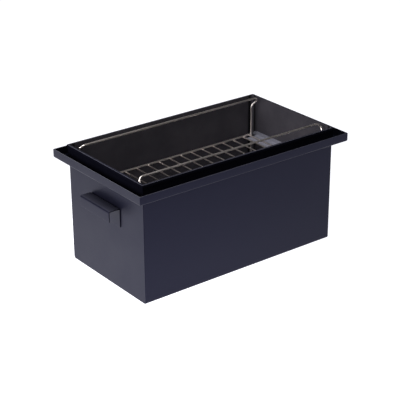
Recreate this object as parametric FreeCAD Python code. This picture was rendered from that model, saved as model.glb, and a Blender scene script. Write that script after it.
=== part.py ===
import FreeCAD, Part
import math
import os

from FreeCAD import Vector

# Hot-smoker box of welded sheet steel with a water-seal gutter round its mouth.
# Millimetres. Origin: middle of the underside. +X along the box, +Z up.
# The carrying handles are on the two short ends, at -X and +X.

# ---- Driving dimensions -------------------------------------------------------------
body_length = 500.0
body_width = 268.0
body_height = 265.0
body_sheet = 1.5
body_bend = 5.0            # outside radius where the wrap turns up from the base

# Water-seal gutter: a J-shaped strip round the mouth, mitred at the corners.
gutter_sheet = 1.5
gutter_reach = 23.8        # outside face of the body to outside face of the lip
gutter_depth = 31.0        # top of the body down to the underside of the gutter
lip_height = 19.0          # height of the outer lip
gutter_bend = 3.0
hem_thickness = 3.0        # the strip's inner leg is folded over at the mouth
hem_depth = 6.0

# Carrying handle: a strip bent to an inverted U with a long leg on the wall.
handle_sheet = 2.0
handle_width = 106.0
handle_reach = 28.0
handle_top = 185.0
handle_wall_leg = 41.5
handle_outer_leg = 23.5
handle_bend = 4.0

# Lifting rack.
bail_wire = 4.0
cross_wire = 3.0
rack_end_gap = 16.5        # inside of the end wall to the middle of the rack's leg
rack_side_gap = 15.5       # inside of the long wall to the middle of the rack's leg
rail_level = 176.0         # middle of the grid's long rails
rack_foot = 94.0           # length of leg below the middle of the long rails
cross_pitch = 30.0
bail_over_top = 2.5        # middle of the bail's top run above the body's edge
bail_lean_in = 13.0
bail_lean_height = 20.5
bail_flare = 20.5          # how far the top run and the lean meet out past the legs
bail_corner = 11.0
bail_knee = 14.0
weld_sink = 0.3            # how far welded wires are pressed into each other

# Support ledge: an angle welded to each end wall, which the rack rests on.
ledge_sheet = 1.5
ledge_depth = 35.0
ledge_upstand = 8.5
ledge_end_gap = 6.0        # end of the upstand to the long wall
ledge_corner = 9.0
notch_clearance = 1.2      # round the rack's leg where the shelf is notched
rest_clearance = 0.3       # between wire or foot and what it rests on

# Drip tray.
tray_sheet = 1.0
tray_side_gap = 12.0       # rim to the long wall
tray_ledge_gap = 5.0       # rim to the ledge, so that the tray lifts out
tray_depth = 18.0
tray_taper = 4.0
tray_corner = 14.0
tray_rim = 4.0             # diameter of the rolled rim
tray_foot_height = 34.0
tray_foot_wire = 5.0
tray_foot_length = 60.0
tray_grip_wire = 4.0
tray_grip_width = 90.0
tray_grip_height = 24.0
tray_grip_bend = 12.0

# Weld beads.
seam_leg = 3.0
stitch_leg = 3.0
stitch_length = 22.0
long_stitches = 6
short_stitches = 3

# ---- Derived places -----------------------------------------------------------------
half_length = body_length / 2
half_width = body_width / 2
inner_x = half_length - body_sheet
inner_y = half_width - body_sheet
gutter_floor = body_height - gutter_depth
lip_top = gutter_floor + lip_height

leg_x = inner_x - rack_end_gap
leg_y = inner_y - rack_side_gap
wire_level = rail_level - (bail_wire + cross_wire) / 2 + weld_sink
foot_level = rail_level - rack_foot
bail_level = body_height + bail_over_top
knee_level = bail_level - bail_lean_height
rail_end = leg_x - bail_wire / 2 + weld_sink
end_wire_x = leg_x - (bail_wire + cross_wire) / 2 + weld_sink
cross_count = 2 * int((end_wire_x - cross_pitch / 2) / cross_pitch) + 1

ledge_top = wire_level - cross_wire / 2 - rest_clearance
ledge_half = inner_y - ledge_end_gap
shelf_half = leg_y - bail_wire / 2 - notch_clearance
shelf_edge_x = inner_x - ledge_depth

tray_half_x = shelf_edge_x - tray_ledge_gap
tray_half_y = inner_y - tray_side_gap
tray_floor = body_sheet + rest_clearance + tray_foot_height
tray_rim_level = tray_floor + tray_depth


# ---- Helpers ------------------------------------------------------------------------
def block(low, high):
    """Box between two corners."""
    size = [high[i] - low[i] for i in range(3)]
    return Part.makeBox(size[0], size[1], size[2], Vector(*low))


def rounded(shape, radius, along, picked):
    """Round the straight edges that run along one axis and whose middle is picked."""
    edges = []
    for edge in shape.Edges:
        if len(edge.Vertexes) != 2:
            continue
        run = edge.Vertexes[1].Point - edge.Vertexes[0].Point
        straight = abs(abs(run.dot(along)) - run.Length) < 1e-6
        if straight and picked(edge.CenterOfMass):
            edges.append(edge)
    return shape.makeFillet(radius, edges)


def bent_path(points, radii):
    """Straight runs joined by tangent arcs; radii has one value per inner point."""
    points = [Vector(*point) for point in points]
    edges = []
    start = points[0]
    for index, radius in enumerate(radii, start=1):
        corner = points[index]
        into = (corner - points[index - 1]).normalize()
        out = (points[index + 1] - corner).normalize()
        half_turn = into.getAngle(out) / 2
        trim = radius * math.tan(half_turn)
        inward = (out - into).normalize()
        first = corner - into * trim
        last = corner + out * trim
        middle = corner + inward * (radius / math.cos(half_turn) - radius)
        edges.append(Part.LineSegment(start, first).toShape())
        edges.append(Part.Arc(first, middle, last).toShape())
        start = last
    edges.append(Part.LineSegment(start, points[-1]).toShape())
    return Part.Wire(edges)


def bent_wire(points, radii, diameter):
    """Round wire swept along a bent path."""
    path = bent_path(points, radii)
    heading = Vector(*points[1]) - Vector(*points[0])
    ring = Part.Wire(Part.makeCircle(diameter / 2, Vector(*points[0]), heading))
    solid = path.makePipeShell([ring], True, True)
    expected = math.pi * diameter ** 2 / 4 * path.Length
    print("wire length %.1f mm, volume ratio %.4f" % (path.Length, solid.Volume / expected))
    return solid


def rod(start, end, diameter):
    """Straight round wire between two points."""
    start = Vector(*start)
    run = Vector(*end) - start
    return Part.makeCylinder(diameter / 2, run.Length, start, run)


def strip(section, length, bend, outer_bends, inner_bends, sheet):
    """Extrude a (reach, height) outline along +Y, centred on Y, and round its bends.

    The outline lies in the XZ plane. The bends are (x, z) points of the outline.
    """
    corners = [Vector(x, -length / 2, z) for x, z in section]
    face = Part.Face(Part.makePolygon(corners + [corners[0]]))
    solid = face.extrude(Vector(0, length, 0))
    for places, radius in ((outer_bends, bend), (inner_bends, bend - sheet)):
        def at_bend(middle):
            return any(math.hypot(middle.x - x, middle.z - z) < 1e-3 for x, z in places)
        solid = rounded(solid, radius, Vector(0, 1, 0), at_bend)
    return solid


def mirrored_x(shape):
    """The same shape at the other end of the box."""
    return shape.mirror(Vector(0, 0, 0), Vector(1, 0, 0))


def mirrored_y(shape):
    """The same shape on the other long side of the box."""
    return shape.mirror(Vector(0, 0, 0), Vector(0, 1, 0))


# ---- Box ----------------------------------------------------------------------------
def make_body_wrap():
    """Front, base and back bent from one sheet, open at the ends and at the top."""
    x_axis = Vector(1, 0, 0)
    outside = block((-inner_x, -half_width, 0), (inner_x, half_width, body_height))
    outside = rounded(outside, body_bend, x_axis, lambda middle: middle.z < 1e-3)
    low = (-body_length, -inner_y, body_sheet)
    high = (body_length, inner_y, 2 * body_height)
    inside = block(low, high)
    inside = rounded(inside, body_bend - body_sheet, x_axis,
                     lambda middle: abs(middle.z - body_sheet) < 1e-3)
    return outside.cut(inside)


def make_end_panel():
    """Flat end plate at +X, cut to the outline of the wrap."""
    plate = block((inner_x, -half_width, 0), (half_length, half_width, body_height))
    return rounded(plate, body_bend, Vector(1, 0, 0), lambda middle: middle.z < 1e-3)


def corner_bead(leg, height):
    """Concave fillet weld along +Z, its square corner at the origin, legs in +X and +Y."""
    face = Part.Face(Part.Wire([
        Part.LineSegment(Vector(0, 0, 0), Vector(leg, 0, 0)).toShape(),
        Part.Arc(Vector(leg, 0, 0),
                 Vector(leg * (1 - math.sqrt(0.5)), leg * (1 - math.sqrt(0.5)), 0),
                 Vector(0, leg, 0)).toShape(),
        Part.LineSegment(Vector(0, leg, 0), Vector(0, 0, 0)).toShape()]))
    return face.extrude(Vector(0, 0, height))


def make_corner_welds():
    """One inside fillet weld in each upright corner of the box."""
    bead = corner_bead(seam_leg, body_height - body_bend)
    beads = []
    for turn, x, y in ((0, -1, -1), (90, 1, -1), (180, 1, 1), (270, -1, 1)):
        copy = bead.copy()
        copy.rotate(Vector(0, 0, 0), Vector(0, 0, 1), turn)
        copy.translate(Vector(x * inner_x, y * inner_y, body_bend))
        beads.append(copy)
    return Part.makeCompound(beads)


def make_base_welds():
    """Inside fillet welds along the foot of both end plates."""
    length = 2 * (inner_y - body_bend)
    bead = corner_bead(seam_leg, length)
    bead.rotate(Vector(0, 0, 0), Vector(1, 0, 0), 90)
    bead.translate(Vector(-inner_x, length / 2, body_sheet))
    return Part.makeCompound([bead, mirrored_x(bead)])


# ---- Water-seal gutter --------------------------------------------------------------
def gutter_outline():
    """Section of the gutter strip: x is the distance out from the wall, z the height."""
    inner_floor = gutter_floor + gutter_sheet
    lip_inside = gutter_reach - gutter_sheet
    return [(0, gutter_floor), (gutter_reach, gutter_floor), (gutter_reach, lip_top),
            (lip_inside, lip_top), (lip_inside, inner_floor), (gutter_sheet, inner_floor),
            (gutter_sheet, body_height - hem_depth), (hem_thickness, body_height - hem_depth),
            (hem_thickness, body_height), (0, body_height)]


def gutter_strip(half_run):
    """Gutter strip on a wall whose half length is half_run, mitred at both ends."""
    long_half = half_run + gutter_reach
    inner_floor = gutter_floor + gutter_sheet
    outer_bends = [(0, gutter_floor), (gutter_reach, gutter_floor)]
    inner_bends = [(gutter_reach - gutter_sheet, inner_floor), (gutter_sheet, inner_floor)]
    solid = strip(gutter_outline(), 2 * long_half, gutter_bend, outer_bends, inner_bends,
                  gutter_sheet)
    plan = [(0, -half_run), (gutter_reach, -long_half), (gutter_reach, long_half), (0, half_run)]
    corners = [Vector(x, y, 0) for x, y in plan]
    mitre = Part.Face(Part.makePolygon(corners + [corners[0]]))
    return solid.common(mitre.extrude(Vector(0, 0, 2 * body_height)))


def make_end_gutter():
    """Gutter strip on the +X end."""
    solid = gutter_strip(half_width)
    solid.translate(Vector(half_length, 0, 0))
    return solid


def make_side_gutter():
    """Gutter strip on the +Y side."""
    solid = gutter_strip(half_length)
    solid.rotate(Vector(0, 0, 0), Vector(0, 0, 1), 90)
    solid.translate(Vector(0, half_width, 0))
    return solid


def stitch_row(count, run):
    """Short welds along +Y under the gutter, in the corner between wall and gutter."""
    bead = corner_bead(stitch_leg, stitch_length)
    bead.rotate(Vector(0, 0, 0), Vector(1, 0, 0), -90)
    spacing = run / count
    beads = []
    for index in range(count):
        copy = bead.copy()
        copy.translate(Vector(0, (index + 0.5) * spacing - run / 2 - stitch_length / 2, 0))
        beads.append(copy)
    return Part.makeCompound(beads)


def make_gutter_welds():
    """Stitch welds that hold the gutter to the outside of the box."""
    # The bead sits just inside the bend of the strip, where strip and wall part.
    level = gutter_floor + gutter_bend * (1 - math.sqrt(0.5))
    end_row = stitch_row(short_stitches, body_width)
    end_row.translate(Vector(half_length, 0, level))
    side_row = stitch_row(long_stitches, body_length)
    side_row.rotate(Vector(0, 0, 0), Vector(0, 0, 1), 90)
    side_row.translate(Vector(0, half_width, level))
    return end_row.cut(make_end_gutter()), side_row.cut(make_side_gutter())


# ---- Carrying handle ----------------------------------------------------------------
def make_handle():
    """Handle on the +X end: wall leg, top shelf and shorter outer leg from one strip."""
    under = handle_top - handle_sheet
    inside = handle_reach - handle_sheet
    outline = [(0, handle_top - handle_wall_leg), (handle_sheet, handle_top - handle_wall_leg),
               (handle_sheet, under), (inside, under),
               (inside, handle_top - handle_outer_leg),
               (handle_reach, handle_top - handle_outer_leg),
               (handle_reach, handle_top), (0, handle_top)]
    outer_bends = [(handle_reach, handle_top), (0, handle_top)]
    inner_bends = [(inside, under), (handle_sheet, under)]
    solid = strip(outline, handle_width, handle_bend, outer_bends, inner_bends, handle_sheet)
    solid.translate(Vector(half_length, 0, 0))
    return solid


# ---- Support ledge ------------------------------------------------------------------
def make_ledge():
    """Angle on the +X end wall; its shelf is cut short at both ends for the rack's legs."""
    back = inner_x - ledge_sheet
    upstand = block((back, -ledge_half, ledge_top - ledge_sheet),
                    (inner_x, ledge_half, ledge_top + ledge_upstand))
    upstand = rounded(upstand, ledge_corner, Vector(1, 0, 0),
                      lambda middle: middle.z > ledge_top)
    shelf = block((shelf_edge_x, -shelf_half, ledge_top - ledge_sheet),
                  (inner_x, shelf_half, ledge_top))
    return upstand.fuse(shelf).removeSplitter()


# ---- Drip tray ----------------------------------------------------------------------
def tray_block(half_x, half_y, corner, height):
    """Upright block with rounded corners, standing on z = 0."""
    solid = block((-half_x, -half_y, 0), (half_x, half_y, height))
    return rounded(solid, corner, Vector(0, 0, 1), lambda middle: True)


def tray_outline(half_x, half_y, corner, level):
    """Rounded rectangle at one level."""
    top = max(tray_block(half_x, half_y, corner, 1).Faces, key=lambda face: face.CenterOfMass.z)
    outline = top.OuterWire.copy()
    outline.translate(Vector(0, 0, level - 1))
    return outline


def make_tray_pan():
    """Pressed pan with sides that flare to the rim."""
    reach_x = tray_half_x - tray_rim / 2
    reach_y = tray_half_y - tray_rim / 2
    foot_x = reach_x - tray_taper
    foot_y = reach_y - tray_taper
    outside = Part.makeLoft([
        tray_outline(foot_x, foot_y, tray_corner - tray_taper, tray_floor),
        tray_outline(reach_x, reach_y, tray_corner, tray_rim_level)], True)
    inside = Part.makeLoft([
        tray_outline(foot_x - tray_sheet, foot_y - tray_sheet,
                     tray_corner - tray_taper - tray_sheet, tray_floor + tray_sheet),
        tray_outline(reach_x - tray_sheet, reach_y - tray_sheet,
                     tray_corner - tray_sheet, tray_rim_level + tray_sheet)], True)
    return outside.cut(inside)


def make_tray_rim():
    """Rolled wire edge round the top of the pan."""
    reach_x = tray_half_x - tray_rim / 2
    reach_y = tray_half_y - tray_rim / 2
    path = tray_outline(reach_x, reach_y, tray_corner, tray_rim_level)
    start = path.OrderedEdges[0]
    point = start.valueAt(start.FirstParameter)
    ring = Part.Wire(Part.makeCircle(tray_rim / 2, point, start.tangentAt(start.FirstParameter)))
    return path.makePipeShell([ring], True, True)


def make_tray_grip():
    """Wire grip on the +X end of the tray, standing up from the rim."""
    x = tray_half_x - tray_rim / 2
    top = tray_rim_level + tray_grip_height
    half = tray_grip_width / 2
    points = [(x, -half, tray_rim_level), (x, -half, top), (x, half, top),
              (x, half, tray_rim_level)]
    return bent_wire(points, [tray_grip_bend, tray_grip_bend], tray_grip_wire)


def make_tray_foot():
    """Wire foot under the +X end of the tray: a U whose base stands on the box's floor."""
    x = tray_half_x - 3 * tray_corner
    low = tray_floor - tray_foot_height + tray_foot_wire / 2
    half = tray_foot_length
    points = [(x, -half, tray_floor), (x, -half, low), (x, half, low), (x, half, tray_floor)]
    return bent_wire(points, [2 * tray_foot_wire, 2 * tray_foot_wire], tray_foot_wire)


# ---- Lifting rack -------------------------------------------------------------------
def make_bail():
    """Bail on the +Y side: foot, leg, lean to the inside, top run, and down again."""
    corner_x = leg_x + bail_flare
    corner_y = leg_y - bail_lean_in
    points = [(-leg_x, leg_y, foot_level), (-leg_x, leg_y, knee_level),
              (-corner_x, corner_y, bail_level), (corner_x, corner_y, bail_level),
              (leg_x, leg_y, knee_level), (leg_x, leg_y, foot_level)]
    radii = [bail_knee, bail_corner, bail_corner, bail_knee]
    return bent_wire(points, radii, bail_wire)


def make_rail():
    """Long rail of the grid on the +Y side, welded between the two legs."""
    return rod((-rail_end, leg_y, rail_level), (rail_end, leg_y, rail_level), bail_wire)


def make_cross_wire(x):
    """Wire under the long rails, across the rack at x."""
    reach = leg_y + bail_wire / 2
    return rod((x, -reach, wire_level), (x, reach, wire_level), cross_wire)


# ---- Output -------------------------------------------------------------------------
def all_nodes():
    """Every piece by its node name."""
    nodes = {"body_wrap": make_body_wrap(), "corner_welds": make_corner_welds(),
             "base_welds": make_base_welds(), "tray_pan": make_tray_pan(),
             "tray_rim": make_tray_rim()}
    end_row, side_row = make_gutter_welds()
    for name, shape in (("end_panel", make_end_panel()), ("end_gutter", make_end_gutter()),
                        ("end_gutter_welds", end_row), ("handle", make_handle()),
                        ("support_ledge", make_ledge()), ("tray_grip", make_tray_grip()),
                        ("tray_foot", make_tray_foot())):
        nodes["right_" + name] = shape
        nodes["left_" + name] = mirrored_x(shape)
    for name, shape in (("side_gutter", make_side_gutter()), ("side_gutter_welds", side_row),
                        ("bail", make_bail()), ("grid_rail", make_rail())):
        nodes["back_" + name] = shape
        nodes["front_" + name] = mirrored_y(shape)
    for index in range(cross_count):
        x = (index - (cross_count - 1) / 2) * cross_pitch
        nodes["cross_wire_%02d" % (index + 1)] = make_cross_wire(x)
    nodes["left_end_wire"] = make_cross_wire(-end_wire_x)
    nodes["right_end_wire"] = make_cross_wire(end_wire_x)
    return nodes


os.makedirs("parts", exist_ok=True)
for node, shape in all_nodes().items():
    if not shape.isValid():
        raise ValueError("%s is not a valid solid" % node)
    shape.exportStep("parts/%s.step" % node)
    print("%-24s solids %d  volume %.0f" % (node, len(shape.Solids), shape.Volume))
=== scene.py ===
import math
import random

import bmesh
import bpy
from mathutils import Matrix, Vector


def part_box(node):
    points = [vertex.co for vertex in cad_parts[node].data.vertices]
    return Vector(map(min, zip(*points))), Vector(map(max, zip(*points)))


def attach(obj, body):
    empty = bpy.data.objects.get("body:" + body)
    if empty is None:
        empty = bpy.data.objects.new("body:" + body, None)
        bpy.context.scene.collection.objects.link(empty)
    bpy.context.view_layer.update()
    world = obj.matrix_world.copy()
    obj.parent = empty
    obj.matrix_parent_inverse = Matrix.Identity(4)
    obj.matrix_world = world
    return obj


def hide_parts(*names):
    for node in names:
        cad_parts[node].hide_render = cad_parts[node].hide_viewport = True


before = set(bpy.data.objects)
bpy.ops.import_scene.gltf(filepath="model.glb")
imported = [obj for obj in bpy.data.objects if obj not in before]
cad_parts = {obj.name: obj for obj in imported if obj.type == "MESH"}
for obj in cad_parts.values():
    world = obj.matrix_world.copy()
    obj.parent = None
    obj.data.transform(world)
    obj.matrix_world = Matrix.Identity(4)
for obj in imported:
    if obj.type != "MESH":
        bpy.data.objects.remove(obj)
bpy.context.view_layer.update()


# ---- Box: wrap and end plates -------------------------------------------------------
# One sheet of 1.5 mm mild steel is bent up at the front and back of its base, and a flat
# plate is welded over each open end. The outside corners are ground flush, and the whole
# box is powder coated satin black, which reads blue-violet where light grazes it.
mm = 0.001
wrap_low, wrap_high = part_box("body_wrap")
plate_low, plate_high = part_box("right_end_panel")
half_length = plate_high.x
half_width = wrap_high.y
box_top = wrap_high.z
box_sheet = plate_high.x - plate_low.x
inner_x = half_length - box_sheet
inner_y = half_width - box_sheet
box_bend = 5 * mm
edge_round = 0.35 * mm
corner_round = 0.8 * mm


def srgb(code):
    """Turn an sRGB hex colour into the linear colour that shaders use."""
    parts = [int(code[i:i + 2], 16) / 255 for i in (1, 3, 5)]
    return [c / 12.92 if c <= 0.04045 else ((c + 0.055) / 1.055) ** 2.4 for c in parts] + [1.0]


def add_node(tree, kind, sockets=None, **settings):
    """Add a node, set its properties, and set or link its input sockets."""
    node = tree.nodes.new(kind)
    for name, value in settings.items():
        setattr(node, name, value)
    for name, value in (sockets or {}).items():
        if isinstance(value, bpy.types.NodeSocket):
            tree.links.new(value, node.inputs[name])
        else:
            node.inputs[name].default_value = value
    return node


def new_material(name):
    """Start a node material; returns it with its tree and its texture coordinates."""
    material = bpy.data.materials.new(name)
    material.use_nodes = True
    tree = material.node_tree
    tree.nodes.clear()
    return material, tree, add_node(tree, "ShaderNodeTexCoord")


def powder_coat(name, dark, light, gloss_tint, roughness, specular, leg_shade_strips=False):
    """Powder coat: orange peel 1.5 mm across, over sheet that is never quite flat.

    leg_shade_strips paints shade: a near-black strip by each upright inside corner, where the legs
    shade it.
    """
    peel_width = 1.5 * mm
    grain_width = 0.6 * mm
    cloud_width = 60 * mm
    buckle_width = 110 * mm
    strip_half = 2.6 * mm
    strip_fade = 2 * mm
    strip_waver = 1.2 * mm
    material, tree, coordinates = new_material(name)
    place = coordinates.outputs["Object"]
    cloud = add_node(tree, "ShaderNodeTexNoise",
                     {"Vector": place, "Scale": 1 / cloud_width, "Detail": 4.0, "Roughness": 0.6})
    grain = add_node(tree, "ShaderNodeTexNoise",
                     {"Vector": place, "Scale": 1 / grain_width, "Detail": 2.0})
    shade = add_node(tree, "ShaderNodeMix", {"Factor": cloud.outputs["Fac"],
                                             6: srgb(dark), 7: srgb(light)}, data_type="RGBA")
    colour = shade.outputs[2]
    # Painted shade: a near-black strip by each upright inside corner, where the rack's legs shade
    # the walls.
    if leg_shade_strips:
        ragged = add_node(tree, "ShaderNodeTexNoise",
                          {"Vector": place, "Scale": 1 / (6 * mm), "Detail": 2.0})
        across = add_node(tree, "ShaderNodeSeparateXYZ", {"Vector": place})
        for axis, middle in (("X", inner_x - 9.5 * mm), ("Y", inner_y - 8 * mm)):
            reach = add_node(tree, "ShaderNodeMath", {0: across.outputs[axis]},
                             operation="ABSOLUTE")
            shift = add_node(tree, "ShaderNodeMath", {0: reach.outputs[0], 1: middle},
                             operation="SUBTRACT")
            gap = add_node(tree, "ShaderNodeMath", {0: shift.outputs[0]}, operation="ABSOLUTE")
            wavy = add_node(tree, "ShaderNodeMath", {0: ragged.outputs["Fac"], 1: strip_waver,
                                                     2: gap.outputs[0]}, operation="MULTIPLY_ADD")
            cover = add_node(tree, "ShaderNodeMapRange",
                             {"Value": wavy.outputs[0], "From Min": strip_half,
                              "From Max": strip_half + strip_fade},
                             interpolation_type="SMOOTHSTEP")
            strip = add_node(tree, "ShaderNodeMix", {"Factor": cover.outputs["Result"],
                                                     6: srgb("#060607"), 7: colour},
                             data_type="RGBA")
            colour = strip.outputs[2]
    rough = add_node(tree, "ShaderNodeMapRange",
                     {"Value": cloud.outputs["Fac"], "From Min": 0.3, "From Max": 0.7,
                      "To Min": roughness - 0.04, "To Max": roughness + 0.04})
    peel = add_node(tree, "ShaderNodeTexNoise",
                    {"Vector": place, "Scale": 1 / peel_width, "Detail": 2.0})
    buckle = add_node(tree, "ShaderNodeTexNoise",
                      {"Vector": place, "Scale": 1 / buckle_width, "Detail": 1.0})
    broad = add_node(tree, "ShaderNodeBump", {"Height": buckle.outputs["Fac"],
                                              "Strength": 0.3, "Distance": 1.0 * mm})
    fine = add_node(tree, "ShaderNodeBump", {"Height": peel.outputs["Fac"], "Strength": 0.3,
                                             "Distance": 0.06 * mm,
                                             "Normal": broad.outputs["Normal"]})
    grit = add_node(tree, "ShaderNodeBump", {"Height": grain.outputs["Fac"], "Strength": 0.25,
                                             "Distance": 0.03 * mm,
                                             "Normal": fine.outputs["Normal"]})
    shader = add_node(tree, "ShaderNodeBsdfPrincipled",
                      {"Base Color": colour, "Roughness": rough.outputs["Result"],
                       "IOR": 1.5, "Specular IOR Level": specular,
                       "Specular Tint": srgb(gloss_tint), "Normal": grit.outputs["Normal"]})
    add_node(tree, "ShaderNodeOutputMaterial", {"Surface": shader.outputs["BSDF"]})
    return material


# Outside, the coat is thick and glossy enough that nearly all of its tone is a reflection.
box_coat = powder_coat("satin black powder coat", "#0c0c14", "#11111b", "#aeb2ff", 0.4, 0.2)

# Powder hardly drifts into a deep box, so the inside is thinner, rougher and greyer. A near-black
# strip beside each upright corner is painted shade, where the rack's legs shade the walls.
inside_coat = powder_coat("thin rough powder coat inside", "#201f25", "#403d42", "#e6e4f2", 0.6,
                          0.18, leg_shade_strips=True)

# Powder draws back from a cut sheet edge as it cures, so the edges are thinly covered,
# smoother and glossier than the faces, and catch a line of light. Their colour is also made
# much lighter than the faces, which paints a highlight along each edge.
edge_coat_and_highlight = powder_coat("thin powder coat on cut edges with painted highlight", "#383842", "#484853", "#e0e0ff", 0.24,
                        0.75)


def arc(centre, radius, start, end, steps=8):
    """Points along an arc of a flat outline, angles in degrees."""
    turns = [math.radians(start + (end - start) * i / steps) for i in range(steps + 1)]
    return [(centre[0] + radius * math.cos(a), centre[1] + radius * math.sin(a)) for a in turns]


def extrude_outline(bm, outline, starts, ends, cuts=(), end_finishes=(1, 1)):
    """Closed solid between two ends of a flat outline, given as lists of 3D points.

    cuts holds the outline's segments that are cut sheet edges, which get the second
    material. end_finishes gives the material of the start and of the end face.
    """
    rings = [[bm.verts.new(point) for point in points] for points in (starts, ends)]
    for i in range(len(outline)):
        j = (i + 1) % len(outline)
        face = bm.faces.new((rings[0][i], rings[0][j], rings[1][j], rings[1][i]))
        face.material_index = 1 if i in cuts else 0
    for ring, finish in zip((rings[0][::-1], rings[1]), end_finishes):
        bm.faces.new(ring).material_index = finish


def add_piece(name, bm, materials, body, nodes=(), rounding=edge_round, flush=None):
    """Make a smooth-shaded piece that rides on a body and stands for CAD nodes.

    Edges sharper than 25 degrees are rounded, unless flush says that their middle lies in
    a ground or closed joint. An edge over 60 degrees that stays unrounded is shaded sharp.
    """
    bmesh.ops.recalc_face_normals(bm, faces=bm.faces)
    weight = bm.edges.layers.float.new("bevel_weight_edge")
    for edge in bm.edges:
        middle = (edge.verts[0].co + edge.verts[1].co) / 2
        if len(edge.link_faces) == 2 and edge.calc_face_angle() > math.radians(25):
            if not rounding or (flush and flush(middle)):
                edge.smooth = edge.calc_face_angle() < math.radians(60)
            else:
                edge[weight] = 1
    mesh = bpy.data.meshes.new(name)
    bm.to_mesh(mesh)
    bm.free()
    for material in materials:
        mesh.materials.append(material)
    mesh.polygons.foreach_set("use_smooth", [True] * len(mesh.polygons))
    piece = bpy.data.objects.new(name, mesh)
    bpy.context.scene.collection.objects.link(piece)
    if rounding:
        bevel = piece.modifiers.new("rounded edges", "BEVEL")
        bevel.width = rounding
        bevel.segments = 2
        bevel.limit_method = "WEIGHT"
        bevel.harden_normals = True
    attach(piece, body)
    if nodes:
        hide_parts(*nodes)
    return piece


def wrap_outline():
    """Section across the wrap, in (y, z): outside first, then back along the inside."""
    y, r, t = half_width, box_bend, box_sheet
    outside = [(-y, box_top)] + arc((-y + r, r), r, 180, 270) + arc((y - r, r), r, 270, 360)
    inside = arc((y - r, r), r - t, 360, 270) + arc((-y + r, r), r - t, 270, 180)
    return outside + [(y, box_top), (y - t, box_top)] + inside + [(-y + t, box_top)]


outline = wrap_outline()
bm = bmesh.new()
extrude_outline(bm, outline, [(wrap_low.x, y, z) for y, z in outline],
                [(wrap_high.x, y, z) for y, z in outline])
for face in bm.faces:
    middle = face.calc_center_median()
    depth = min(half_width - abs(middle.y), middle.z)
    if face.material_index == 0 and depth > box_sheet / 2:
        face.material_index = 2
add_piece("body_wrap_sheet", bm, [box_coat, edge_coat_and_highlight, inside_coat], "box",
          ["body_wrap"], flush=lambda middle: abs(middle.x) > inner_x - 0.1 * mm)

outline = ([(-half_width, box_top)] + arc((-half_width + box_bend, box_bend), box_bend, 180, 270)
           + arc((half_width - box_bend, box_bend), box_bend, 270, 360) + [(half_width, box_top)])
for side, word in ((-1, "left"), (1, "right")):
    bm = bmesh.new()
    extrude_outline(bm, outline, [(side * inner_x, y, z) for y, z in outline],
                    [(side * half_length, y, z) for y, z in outline], end_finishes=(2, 0))
    add_piece(word + "_end_plate", bm, [box_coat, edge_coat_and_highlight, inside_coat], "box",
              [word + "_end_panel"], corner_round,
              flush=lambda middle: abs(middle.x) < half_length - 0.1 * mm)


# ---- Inside seams -------------------------------------------------------------------
# The wrap and the end plates are MIG welded from the inside, with a 3 mm fillet up each
# corner and along the foot of each plate. The beads are painted over with the box, so only
# their ripples show.
seam_leg = 3 * mm


def add_bead(bm, foot, along, out, up, leg, length):
    """Rippled fillet bead in the corner between two faces that go out and up from foot."""
    # Real ripples are about 1 mm apart; they are twice that here, so that they show.
    ripple = 2.2 * mm
    steps = max(8, round(length / ripple) * 4)
    rings = []
    for i in range(steps + 1):
        travel = length * i / steps
        near_end = min(1.0, (min(travel, length - travel) + 0.2 * mm) / leg)
        size = leg * math.sqrt(1 - (1 - near_end) ** 2)
        swell = abs(math.sin(math.pi * travel / ripple))
        ring = [bm.verts.new(foot + along * travel)]
        for k in range(7):
            t = k / 6
            crown = (0.05 * swell - 0.1) * math.sin(math.pi * t)
            reach = out * (1 - t + crown) + up * (t + crown)
            ring.append(bm.verts.new(foot + along * travel + reach * size))
        rings.append(ring)
    for a, b in zip(rings, rings[1:]):
        for k in range(8):
            bm.faces.new((a[k], a[(k + 1) % 8], b[(k + 1) % 8], b[k]))
    bm.faces.new(rings[0][::-1])
    bm.faces.new(rings[-1])


x_axis, y_axis, z_axis = Vector((1, 0, 0)), Vector((0, 1, 0)), Vector((0, 0, 1))
bm = bmesh.new()
for x_side in (-1, 1):
    for y_side in (-1, 1):
        add_bead(bm, Vector((x_side * inner_x, y_side * inner_y, box_bend)), z_axis,
                 x_axis * -x_side, y_axis * -y_side, seam_leg, box_top - box_bend)
add_piece("corner_weld_beads", bm, [inside_coat], "box", ["corner_welds"], 0)

bm = bmesh.new()
seam_half = inner_y - box_bend
for side in (-1, 1):
    add_bead(bm, Vector((side * inner_x, -seam_half, box_sheet)), y_axis, x_axis * -side, z_axis,
             seam_leg, 2 * seam_half)
add_piece("base_weld_beads", bm, [inside_coat], "box", ["base_welds"], 0)


# ---- Water-seal gutter --------------------------------------------------------------
# A strip of 1.5 mm sheet is folded into a J: a leg hemmed over at the mouth, a floor and a
# lip. Four mitred lengths are welded into a ring and ground. The lid stands in water in it.
# The trough is coloured near black, matt and without gloss, as painted shade in the channel.
gutter_low, gutter_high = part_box("right_end_gutter")
gutter_reach = gutter_high.x - half_length
gutter_floor = gutter_low.z
gutter_sheet = 1.5 * mm
gutter_bend = 3 * mm
hem_thickness = 3 * mm
hem_bottom = box_top - 6 * mm
lip_top = gutter_floor + 19 * mm
trough_shade_coat = powder_coat("trough coat painted dark as shade", "#07070d", "#0c0c14", "#d4d6ff",
                          0.8, 0.0)


def gutter_outline():
    """Section of the gutter, in distance out from the wall and height, and its outside."""
    r, t = gutter_bend, gutter_sheet
    lip = gutter_reach
    outside = ([(0, box_top)] + arc((r, gutter_floor + r), r, 180, 270)
               + arc((lip - r, gutter_floor + r), r, 270, 360) + [(lip, lip_top)])
    inside = ([(lip - t, lip_top)] + arc((lip - r, gutter_floor + r), r - t, 360, 270)
              + arc((r, gutter_floor + r), r - t, 270, 180) + [(t, hem_bottom)])
    half = hem_thickness / 2
    fold = arc((half, box_top - half), half, 0, 90)
    return outside + inside + [(hem_thickness, hem_bottom)] + fold, outside


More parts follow.
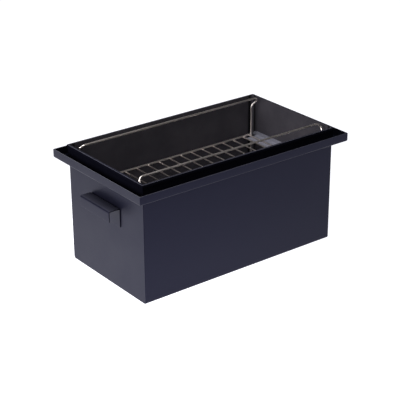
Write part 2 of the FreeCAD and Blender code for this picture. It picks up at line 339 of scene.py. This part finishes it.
outline, outside = gutter_outline()
fold_crown = range(len(outline) - 5, len(outline) - 1)
bm = bmesh.new()
rings = [[bm.verts.new((x_side * (half_length + out), y_side * (half_width + out), z))
          for out, z in outline] for x_side, y_side in ((-1, -1), (1, -1), (1, 1), (-1, 1))]
for a, b in zip(rings, rings[1:] + rings[:1]):
    for i in range(len(outline)):
        j = (i + 1) % len(outline)
        face = bm.faces.new((a[i], a[j], b[j], b[i]))
        # The lip's top and the hem's crown take the edge coat, whose light colour is partly painted
        # highlight.
        thin_edge_and_highlight = outline[i][1] == outline[j][1] == lip_top or i in fold_crown
        # Faces inside the trough take the near-black coat, which is painted shade.
        face.material_index = 1 if thin_edge_and_highlight else 2 if i >= len(outside) else 0
add_piece("water_seal_gutter", bm, [box_coat, edge_coat_and_highlight, trough_shade_coat], "box",
          ["left_end_gutter", "right_end_gutter", "front_side_gutter", "back_side_gutter"])


# ---- Stitch welds under the gutter --------------------------------------------------
# The gutter hangs on short 3 mm fillets, 22 mm long, run from outside into the corner
# between its bend and the wall: three on each end and six on each long side.
stitch_leg = 3 * mm
stitch_length = 22 * mm
stitch_level = gutter_floor + gutter_bend * (1 - math.sqrt(0.5))


def stitch_row(name, count, run, middle, along, out, node):
    """A row of evenly spaced stitches along one wall."""
    bm = bmesh.new()
    for index in range(count):
        shift = (index + 0.5) * run / count - run / 2 - stitch_length / 2
        add_bead(bm, middle + along * shift, along, out, z_axis * -1, stitch_leg, stitch_length)
    add_piece(name, bm, [box_coat], "box", [node], 0)


for side, end_word, side_word in ((-1, "left", "front"), (1, "right", "back")):
    stitch_row(end_word + "_end_stitches", 3, 2 * half_width,
               Vector((side * half_length, 0, stitch_level)), y_axis, x_axis * side,
               end_word + "_end_gutter_welds")
    stitch_row(side_word + "_side_stitches", 6, 2 * half_length,
               Vector((0, side * half_width, stitch_level)), x_axis, y_axis * side,
               side_word + "_side_gutter_welds")


# ---- Carrying handles ---------------------------------------------------------------
# Each is a strip of 2 mm sheet bent to a hook: a long leg spot welded on the end plate, a
# shelf, and a short outer leg to grip behind. It is coated with the box. The shelf's top is
# coloured greyer as painted light, and the sheared ends near black as painted shade.
handle_low, handle_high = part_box("right_handle")
handle_sheet = 2 * mm
handle_bend = 4 * mm
handle_round = 0.45 * mm
outer_leg_bottom = handle_high.z - 23.5 * mm
handle_top_painted_light_coat = powder_coat("handle top coat lightened as painted light", "#26262f", "#32323c", "#c8caff", 0.4,
                           0.3)
shaded_coat = powder_coat("sheared ends darkened as painted shade", "#08080e", "#0e0e16", "#d4d6ff", 0.7,
                          0.1)


def handle_outline():
    """Section of the handle in (x, z), for the right-hand end."""
    r, t = handle_bend, handle_sheet
    wall, lip, top = handle_low.x, handle_high.x, handle_high.z
    outside = ([(wall, handle_low.z)] + arc((wall + r, top - r), r, 180, 90)
               + arc((lip - r, top - r), r, 90, 0) + [(lip, outer_leg_bottom)])
    inside = ([(lip - t, outer_leg_bottom)] + arc((lip - r, top - r), r - t, 0, 90)
              + arc((wall + r, top - r), r - t, 90, 180) + [(wall + t, handle_low.z)])
    return outside + inside


outline = handle_outline()
leg_cuts = [i for i, (a, b) in enumerate(zip(outline, outline[1:] + outline[:1]))
            if abs(a[1] - b[1]) < 1e-9 and abs(a[0] - b[0]) < 2 * handle_sheet]
for side, word in ((-1, "left"), (1, "right")):
    bm = bmesh.new()
    # Both sheared end faces take the near-black coat, painted shade in the gap at the handle's ends.
    extrude_outline(bm, outline, [(side * x, handle_low.y, z) for x, z in outline],
                    [(side * x, handle_high.y, z) for x, z in outline], leg_cuts, (3, 3))
    # Painted light: the shelf's top face takes the lighter coat, for the light that falls on it.
    for face in bm.faces:
        if face.calc_center_median().z > handle_high.z - 0.5 * mm:
            face.material_index = 2
    add_piece(word + "_carrying_handle", bm, [box_coat, edge_coat_and_highlight, handle_top_painted_light_coat, shaded_coat],
              "box", [word + "_handle"], handle_round)


# ---- Support ledges -----------------------------------------------------------------
# An angle of 1.5 mm sheet on each end wall carries the rack. Its back edge turns up and is
# spot welded to the wall, and its shelf stops short at both ends to let the legs pass. The
# whole angle is coloured much greyer than the walls, as painted light on its shelf.
ledge_low, ledge_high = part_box("right_support_ledge")
ledge_sheet = 1.5 * mm
ledge_top = ledge_low.z + ledge_sheet
ledge_bend = 2.5 * mm
ledge_corner = 9 * mm
ledge_round = 0.3 * mm
shelf_half = 113.8 * mm
spot_count = 5
spot_pitch = 48 * mm
spot_height = 4.6 * mm
spot_radius = 1.7 * mm
ledge_painted_light_coat = powder_coat("ledge coat lightened as painted light", "#5a5a63", "#767680", "#e8e8ff",
                          0.36, 0.4)


def add_spot(bm, centre, out, radius):
    """Spot weld mark: a shallow dish with a raised lip, on a face that looks along out."""
    side = z_axis.cross(out)
    profile = ((1.25, 0.0), (1.1, 0.12), (0.95, 0.14), (0.75, 0.02), (0.0, 0.0))
    rings = []
    for reach, rise in profile[:-1]:
        turns = [2 * math.pi * k / 20 for k in range(20)]
        rings.append([bm.verts.new(centre + out * rise * mm + (side * math.cos(a)
                      + z_axis * math.sin(a)) * radius * reach) for a in turns])
    for a, b in zip(rings, rings[1:]):
        for k in range(20):
            bm.faces.new((a[k], a[(k + 1) % 20], b[(k + 1) % 20], b[k]))
    bm.faces.new(rings[-1])


def shelf_outline():
    """Section of the angle in (x, z): shelf, bend and upstand, for the right-hand end."""
    r, t = ledge_bend, ledge_sheet
    back, front, low = ledge_high.x, ledge_low.x, ledge_low.z
    outside = [(front, low)] + arc((back - r, low + r), r, 270, 360) + [(back, ledge_high.z)]
    inside = ([(back - t, ledge_high.z)] + arc((back - r, low + r), r - t, 360, 270)
              + [(front, low + t)])
    return outside + inside


outline = shelf_outline()
tab = ([(shelf_half, ledge_low.z), (ledge_high.y, ledge_low.z)]
       + arc((ledge_high.y - ledge_corner, ledge_high.z - ledge_corner), ledge_corner, 0, 90)
       + [(shelf_half, ledge_high.z)])
for side, word in ((-1, "left"), (1, "right")):
    bm = bmesh.new()
    extrude_outline(bm, outline, [(side * x, -shelf_half, z) for x, z in outline],
                    [(side * x, shelf_half, z) for x, z in outline], [len(outline) - 1])
    for end in (-1, 1):
        extrude_outline(bm, tab, [(side * (ledge_high.x - ledge_sheet), end * y, z) for y, z in tab],
                        [(side * ledge_high.x, end * y, z) for y, z in tab],
                        range(2, len(tab)), end_finishes=(0, 0))
    for index in range(spot_count):
        place = Vector((side * (ledge_high.x - ledge_sheet - 0.02 * mm),
                        (index - (spot_count - 1) / 2) * spot_pitch, ledge_top + spot_height))
        add_spot(bm, place, x_axis * -side, spot_radius)
    add_piece(word + "_rack_ledge", bm, [ledge_painted_light_coat, edge_coat_and_highlight], "box",
              [word + "_support_ledge"], ledge_round,
              flush=lambda middle: abs(abs(middle.y) - shelf_half) < 0.1 * mm
              and abs(middle.x) > ledge_high.x - 2 * ledge_sheet)


# ---- Drip tray ----------------------------------------------------------------------
# A pan pressed from 1 mm stainless sheet, with a stiffening bead round its floor and its
# edge rolled over a 4 mm wire. It stands over the wood chips on two wire feet, and a wire
# grip at each end lifts it out.
tray_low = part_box("tray_pan")[0]
rim_low, rim_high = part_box("tray_rim")
foot_low, foot_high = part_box("right_tray_foot")
grip_low, grip_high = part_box("right_tray_grip")
rim_wire = 4 * mm
grip_wire = 4 * mm
grip_bend = 12 * mm
foot_wire = 5 * mm
tray_taper = 4 * mm
tray_corner = 14 * mm
bead_corner = 8 * mm
tray_sheet = 1 * mm


def brushed_sheet(name, dark, light, roughness):
    """Cold-rolled stainless sheet, brushed along X: fine lines that stretch highlights."""
    # The real brush lines are some 0.05 mm wide; they are 0.5 mm here, so that they show.
    line_width = 0.5 * mm
    line_length = 60 * mm
    material, tree, coordinates = new_material(name)
    stretch = add_node(tree, "ShaderNodeMapping",
                       {"Vector": coordinates.outputs["Object"],
                        "Scale": (1 / line_length, 1 / line_width, 1 / line_width)})
    lines = add_node(tree, "ShaderNodeTexNoise", {"Vector": stretch.outputs["Vector"],
                                                  "Scale": 1.0, "Detail": 3.0})
    film = add_node(tree, "ShaderNodeTexNoise",
                    {"Vector": coordinates.outputs["Object"], "Scale": 1 / (45 * mm),
                     "Detail": 5.0, "Roughness": 0.6})
    shade = add_node(tree, "ShaderNodeMix", {"Factor": lines.outputs["Fac"],
                                             6: srgb(dark), 7: srgb(light)}, data_type="RGBA")
    rough = add_node(tree, "ShaderNodeMapRange",
                     {"Value": film.outputs["Fac"], "From Min": 0.3, "From Max": 0.7,
                      "To Min": roughness - 0.07, "To Max": roughness + 0.1})
    groove = add_node(tree, "ShaderNodeBump", {"Height": lines.outputs["Fac"], "Strength": 0.4,
                                               "Distance": 0.02 * mm})
    shader = add_node(tree, "ShaderNodeBsdfPrincipled",
                      {"Base Color": shade.outputs[2], "Metallic": 1.0,
                       "Roughness": rough.outputs["Result"], "Anisotropic": 0.4,
                       "Normal": groove.outputs["Normal"]})
    add_node(tree, "ShaderNodeOutputMaterial", {"Surface": shader.outputs["BSDF"]})
    return material


def drawn_wire(name, dark, light, tint, roughness):
    """Drawn stainless wire: die lines run along it, and welding leaves a brown heat tint.

    The wire's UV map holds metres along and round it, and its heat attribute is 1 at a weld.
    """
    # Real die lines are about 0.1 mm apart; these are 0.5 mm, so that they show.
    line_width = 0.5 * mm
    line_length = 25 * mm
    material, tree, coordinates = new_material(name)
    stretch = add_node(tree, "ShaderNodeMapping",
                       {"Vector": coordinates.outputs["UV"],
                        "Scale": (1 / line_length, 1 / line_width, 1.0)})
    lines = add_node(tree, "ShaderNodeTexNoise", {"Vector": stretch.outputs["Vector"],
                                                  "Scale": 1.0, "Detail": 3.0})
    patch = add_node(tree, "ShaderNodeTexNoise",
                     {"Vector": coordinates.outputs["Object"], "Scale": 1 / (7 * mm),
                      "Detail": 3.0})
    steel = add_node(tree, "ShaderNodeMix", {"Factor": lines.outputs["Fac"],
                                             6: srgb(dark), 7: srgb(light)}, data_type="RGBA")
    heat = add_node(tree, "ShaderNodeAttribute", attribute_name="heat")
    spread = add_node(tree, "ShaderNodeMath", {0: heat.outputs["Fac"], 1: patch.outputs["Fac"]},
                      operation="MULTIPLY")
    amount = add_node(tree, "ShaderNodeMath", {0: spread.outputs["Value"], 1: 1.7},
                      operation="MULTIPLY", use_clamp=True)
    shade = add_node(tree, "ShaderNodeMix", {"Factor": amount.outputs["Value"],
                                             6: steel.outputs[2], 7: srgb(tint)},
                     data_type="RGBA")
    rough = add_node(tree, "ShaderNodeMapRange",
                     {"Value": patch.outputs["Fac"], "From Min": 0.3, "From Max": 0.7,
                      "To Min": roughness - 0.02, "To Max": roughness + 0.03})
    groove = add_node(tree, "ShaderNodeBump", {"Height": lines.outputs["Fac"], "Strength": 0.25,
                                               "Distance": 0.002 * mm})
    shader = add_node(tree, "ShaderNodeBsdfPrincipled",
                      {"Base Color": shade.outputs[2], "Metallic": 1.0,
                       "Roughness": rough.outputs["Result"], "Normal": groove.outputs["Normal"]})
    add_node(tree, "ShaderNodeOutputMaterial", {"Surface": shader.outputs["BSDF"]})
    return material


tray_steel = brushed_sheet("brushed stainless sheet", "#8d8b89", "#b4b2b0", 0.34)
tray_wire = drawn_wire("tray wire", "#8c8884", "#b0aca8", "#6e5646", 0.32)


def rounded_ring(half_x, half_y, radius, level, steps=8):
    """Points of a rounded rectangle at one level, counterclockwise from the right."""
    plan = []
    for x, y, start in ((1, 1, 0), (-1, 1, 90), (-1, -1, 180), (1, -1, 270)):
        plan += arc((x * (half_x - radius), y * (half_y - radius)), radius, start, start + 90, steps)
    return [Vector((x, y, level)) for x, y in plan]


def add_wire(bm, line, diameter, hot=(), closed=False):
    """Round wire along a line of points, its cut ends deburred; hot lists weld places."""
    segments = 14
    lengthwise = bm.loops.layers.uv.verify()
    heat = bm.verts.layers.float.get("heat") or bm.verts.layers.float.new("heat")
    count = len(line)
    headings = []
    for i in range(count):
        before = line[i - 1] if closed or i else line[i]
        after = line[(i + 1) % count] if closed or i < count - 1 else line[i]
        headings.append((after - before).normalized())
    aside = headings[0].orthogonal().normalized()
    travel = 0.0
    rings = []
    for i, (point, heading) in enumerate(zip(line, headings)):
        if i:
            aside = headings[i - 1].rotation_difference(heading) @ aside
            travel += (point - line[i - 1]).length
        other = heading.cross(aside)
        radius = diameter / 2 * (1.0 if closed or 0 < i < count - 1 else 0.72)
        warm = max([math.exp(-((point - spot).length / (6 * mm)) ** 2) for spot in hot] or [0.0])
        ring = []
        for k in range(segments):
            a = 2 * math.pi * k / segments
            vert = bm.verts.new(point + (aside * math.cos(a) + other * math.sin(a)) * radius)
            vert[heat] = warm
            ring.append(vert)
        rings.append((travel, ring))
    pairs = list(zip(rings, rings[1:]))
    if closed:
        pairs.append((rings[-1], (travel + (line[0] - line[-1]).length, rings[0][1])))
    for (start, a), (end, b) in pairs:
        for k in range(segments):
            j = (k + 1) % segments
            face = bm.faces.new((a[k], a[j], b[j], b[k]))
            round_a = math.pi * diameter * k / segments
            round_b = math.pi * diameter * (k + 1) / segments
            for loop, place in zip(face.loops, ((start, round_a), (start, round_b),
                                                (end, round_b), (end, round_a))):
                loop[lengthwise].uv = place
    if not closed:
        bm.faces.new(rings[0][1][::-1])
        bm.faces.new(rings[-1][1])


def bent_line(points, radii, diameter):
    """Points close together along straight runs with tangent bends, ends eased for a chamfer."""
    points = [Vector(point) for point in points]
    line = [points[0], points[0].lerp(points[1], 0.3 * diameter / (points[1] - points[0]).length)]

    def run_to(target):
        start = line[-1].copy()
        steps = max(1, math.ceil((target - start).length / (2.5 * mm)))
        line.extend(start.lerp(target, i / steps) for i in range(1, steps + 1))

    for index, radius in enumerate(radii, start=1):
        corner = points[index]
        into = (corner - points[index - 1]).normalized()
        out = (points[index + 1] - corner).normalized()
        half_turn = into.angle(out) / 2
        first = corner - into * radius * math.tan(half_turn)
        centre = corner + (out - into).normalized() * radius / math.cos(half_turn)
        run_to(first)
        axis = into.cross(out).normalized()
        steps = max(4, math.ceil(math.degrees(2 * half_turn) / 7))
        for i in range(1, steps + 1):
            turn = Matrix.Rotation(2 * half_turn * i / steps, 3, axis)
            line.append(centre + turn @ (first - centre))
    back = (points[-2] - points[-1]).normalized() * 0.3 * diameter
    run_to(points[-1] + back)
    line.append(points[-1])
    return line


# The surface runs from the rim down the outside of the pan and across its floor; the sheet's
# thickness is added inwards.
reach_x = rim_high.x - rim_wire / 2
reach_y = rim_high.y - rim_wire / 2
floor_level = tray_low.z
rim_level = (rim_low.z + rim_high.z) / 2
bm = bmesh.new()
sides = []
for drop, taper in ((0.0, 0.0), (0.5, 0.45), (0.82, 0.8), (0.93, 1.0), (0.98, 1.35), (1.0, 1.9)):
    shrink = tray_taper * taper
    sides.append(rounded_ring(reach_x - shrink, reach_y - shrink, tray_corner - 0.8 * shrink,
                              rim_level + (floor_level - rim_level) * drop))
for gap, rise in ((22, 0.0), (24, 0.5), (26, 1.3), (28, 1.5), (30, 1.3), (32, 0.5), (34, 0.0)):
    sides.append(rounded_ring(reach_x - gap * mm, reach_y - gap * mm, bead_corner,
                              floor_level + rise * mm))
rings = [[bm.verts.new(point) for point in ring] for ring in sides]
for a, b in zip(rings, rings[1:]):
    for k in range(len(a)):
        j = (k + 1) % len(a)
        bm.faces.new((a[k], a[j], b[j], b[k]))
bm.faces.new(rings[-1])
piece = add_piece("drip_tray_pan", bm, [tray_steel], "tray", ["tray_pan"], 0)
thickness = piece.modifiers.new("sheet", "SOLIDIFY")
thickness.thickness = tray_sheet
thickness.offset = -1

bm = bmesh.new()
ring = rounded_ring(reach_x, reach_y, tray_corner, rim_level, 10)
add_wire(bm, ring, rim_wire, closed=True)
add_piece("drip_tray_rolled_rim", bm, [tray_steel], "tray", ["tray_rim"], 0)

for side, word in ((-1, "left"), (1, "right")):
    x = side * (grip_low.x + grip_wire / 2)
    half = grip_high.y - grip_wire / 2
    top = grip_high.z - grip_wire / 2
    line = bent_line([(x, -half, rim_level), (x, -half, top), (x, half, top),
                      (x, half, rim_level)], [grip_bend, grip_bend], grip_wire)
    bm = bmesh.new()
    add_wire(bm, line, grip_wire, hot=(line[0], line[-1]))
    add_piece(word + "_tray_grip_wire", bm, [tray_wire], "tray",
              [word + "_tray_grip"], 0)

    x = side * (foot_low.x + foot_wire / 2)
    half = foot_high.y - foot_wire / 2
    low = foot_low.z + foot_wire / 2
    line = bent_line([(x, -half, foot_high.z), (x, -half, low), (x, half, low),
                      (x, half, foot_high.z)], [2 * foot_wire, 2 * foot_wire], foot_wire)
    bm = bmesh.new()
    add_wire(bm, line, foot_wire, hot=(line[0], line[-1]))
    add_piece(word + "_tray_foot_wire", bm, [tray_wire], "tray",
              [word + "_tray_foot"], 0)


# ---- Lifting rack -------------------------------------------------------------------
# Two bails of 4 mm stainless wire are bent down at both ends into legs. A long rail joins
# the legs of each bail, and 3 mm wires are resistance welded across under the rails, every
# 30 mm. The welds leave small squeezed beads with a brown heat tint.
frame_wire = 4 * mm
cross_wire = 3 * mm
back_low, back_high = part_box("back_bail")
rail_low, rail_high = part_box("back_grid_rail")
rail_level = (rail_low.z + rail_high.z) / 2
leg_x = rail_high.x + frame_wire / 2 - 0.3 * mm
leg_y = rail_high.y - frame_wire / 2
foot_level = back_low.z
bail_level = back_high.z - frame_wire / 2
bail_lean = 20.5 * mm
knee_bend = 14 * mm
corner_bend = 11 * mm
corner_x = leg_x + bail_lean
corner_y = back_low.y + frame_wire / 2
knee_level = bail_level - bail_lean
joint_nugget = (0.9 * mm, 2.3 * mm, 2.3 * mm)
crossing_nugget = (2.1 * mm, 2.3 * mm, 0.8 * mm)
largest_bow = 0.3 * mm
rack_wire = drawn_wire("stainless rack wire", "#e0d6d1", "#f8efeb", "#a88474", 0.32)


def add_nugget(bm, centre, size, dice):
    """Squeezed bead of a resistance weld: a flattened, uneven lump with its full heat tint."""
    heat = bm.verts.layers.float.get("heat") or bm.verts.layers.float.new("heat")
    lump = bmesh.ops.create_uvsphere(bm, u_segments=12, v_segments=8, radius=1.0)["verts"]
    for vert in lump:
        swell = 1 + 0.12 * dice.uniform(-1, 1)
        vert.co = centre + Vector([vert.co[i] * size[i] * swell for i in range(3)])
        vert[heat] = 1.0


cross_names = ["cross_wire_%02d" % (i + 1) for i in range(15)] + ["left_end_wire", "right_end_wire"]
cross_places = {name: (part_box(name)[0].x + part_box(name)[1].x) / 2 for name in cross_names}
wire_low, wire_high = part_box("cross_wire_01")
wire_level = (wire_low.z + wire_high.z) / 2

for side, word in ((-1, "front"), (1, "back")):
    bail = bent_line([(-leg_x, side * leg_y, foot_level), (-leg_x, side * leg_y, knee_level),
                      (-corner_x, side * corner_y, bail_level),
                      (corner_x, side * corner_y, bail_level),
                      (leg_x, side * leg_y, knee_level), (leg_x, side * leg_y, foot_level)],
                     [knee_bend, corner_bend, corner_bend, knee_bend], frame_wire)
    joints = [Vector((x, side * leg_y, rail_level)) for x in (-leg_x, leg_x)]
    bm = bmesh.new()
    add_wire(bm, bail, frame_wire, hot=joints)
    add_piece(word + "_lifting_bail", bm, [rack_wire], "rack",
              [word + "_bail"], 0)

    ends = [Vector((x, side * leg_y, rail_level)) for x in (rail_low.x, rail_high.x)]
    crossings = [Vector((x, side * leg_y, rail_level)) for x in cross_places.values()]
    dice = random.Random(side)
    bm = bmesh.new()
    add_wire(bm, bent_line(ends, [], frame_wire), frame_wire, hot=joints + crossings)
    for joint in joints:
        inward = -0.5 * frame_wire * math.copysign(1, joint.x)
        add_nugget(bm, joint + Vector((inward, 0, 0)), joint_nugget, dice)
    add_piece(word + "_long_rail", bm, [rack_wire], "rack",
              [word + "_grid_rail"], 0)

for number, (name, x) in enumerate(cross_places.items()):
    dice = random.Random(100 + number)
    # Cut wire is never quite straight: each bows sideways a little between its welds.
    bow = largest_bow * dice.uniform(-1, 1)
    line = bent_line([(x, wire_low.y, wire_level), (x, wire_high.y, wire_level)], [], cross_wire)
    for point in line:
        point.x += bow * (1 - min(1, abs(point.y) / leg_y) ** 2)
    spots = [Vector((x, y, (wire_level + rail_level) / 2 - 0.25 * mm)) for y in (-leg_y, leg_y)]
    bm = bmesh.new()
    add_wire(bm, line, cross_wire, hot=spots)
    for spot in spots:
        add_nugget(bm, spot, crossing_nugget, dice)
    add_piece(name + "_rod", bm, [rack_wire], "rack", [name], 0)


# ---- Studio -------------------------------------------------------------------------
# A pale floor that glows as a light table does, most around the left of the object, one
# large soft light on that side, weaker ones all round and overhead, and a long lens.
bm = bmesh.new()
bmesh.ops.create_grid(bm, x_segments=1, y_segments=1, size=30.0)
floor_mesh = bpy.data.meshes.new("floor")
bm.to_mesh(floor_mesh)
bm.free()
floor = bpy.data.objects.new("floor", floor_mesh)
bpy.context.scene.collection.objects.link(floor)
paper, tree, coordinates = new_material("pale studio paper")
glow_centre = (-0.38, -0.14, 0.0)
glow_reach = 1.0
spread = add_node(tree, "ShaderNodeVectorMath",
                  {0: coordinates.outputs["Object"], 1: glow_centre}, operation="DISTANCE")
glow = add_node(tree, "ShaderNodeMapRange",
                {"Value": spread.outputs["Value"], "From Min": 0.0, "From Max": glow_reach,
                 "To Min": 1.66, "To Max": 0.995}, interpolation_type="SMOOTHERSTEP")
shader = add_node(tree, "ShaderNodeBsdfPrincipled",
                  {"Base Color": srgb("#7c7c7c"), "Roughness": 0.9, "Specular IOR Level": 0.0,
                   "Emission Color": srgb("#f8f8ff"), "Emission Strength": glow.outputs["Result"]})
add_node(tree, "ShaderNodeOutputMaterial", {"Surface": shader.outputs["BSDF"]})
floor_mesh.materials.append(paper)

world = bpy.data.worlds.new("studio")
bpy.context.scene.world = world
world.use_nodes = True
world.node_tree.nodes.clear()
sky = add_node(world.node_tree, "ShaderNodeBackground", {"Color": srgb("#ffffff"),
                                                         "Strength": 0.04})
add_node(world.node_tree, "ShaderNodeOutputWorld", {"Surface": sky.outputs["Background"]})


def soft_light(name, place, aim, width, height, power):
    """Rectangular soft box at a place, turned to an aim point."""
    light = bpy.data.lights.new(name, "AREA")
    light.shape = "RECTANGLE"
    light.size = width
    light.size_y = height
    light.energy = power
    lamp = bpy.data.objects.new(name, light)
    lamp.location = place
    lamp.rotation_euler = (Vector(aim) - Vector(place)).to_track_quat("-Z", "Y").to_euler()
    bpy.context.scene.collection.objects.link(lamp)


soft_light("soft_box_left", (-2.5, 0.2, 1.0), (0, 0, 0.15), 2.2, 1.2, 74)
soft_light("soft_box_front", (-0.6, -1.9, 2.1), (0, 0, 0.15), 1.6, 1.0, 14)
soft_light("soft_box_back", (0.8, 2.6, 1.6), (0, 0, 0.1), 2.0, 1.0, 5)
soft_light("soft_box_top", (-0.5, -0.3, 2.6), (0, 0, 0.2), 1.4, 1.0, 56)

view_aim = Vector((-0.0076, 0.0, 0.1170))
view_distance = 2.7388
view_azimuth = math.radians(37.453)
view_elevation = math.radians(24.413)
view_roll = math.radians(-0.314)
forward = Vector((math.sin(view_azimuth) * math.cos(view_elevation),
                  math.cos(view_azimuth) * math.cos(view_elevation), -math.sin(view_elevation)))
level = forward.cross(z_axis).normalized()
upright = level.cross(forward)
right = level * math.cos(view_roll) + upright * math.sin(view_roll)
up = right.cross(forward)
camera_data = bpy.data.cameras.new("camera")
camera_data.lens = 113.79
camera_data.sensor_width = 36.0
camera = bpy.data.objects.new("camera", camera_data)
axes = Matrix((right, up, -forward)).transposed()
camera.matrix_world = Matrix.Translation(view_aim - forward * view_distance) @ axes.to_4x4()
bpy.context.scene.collection.objects.link(camera)
bpy.context.scene.camera = camera
bpy.context.scene.view_settings.view_transform = "Standard"
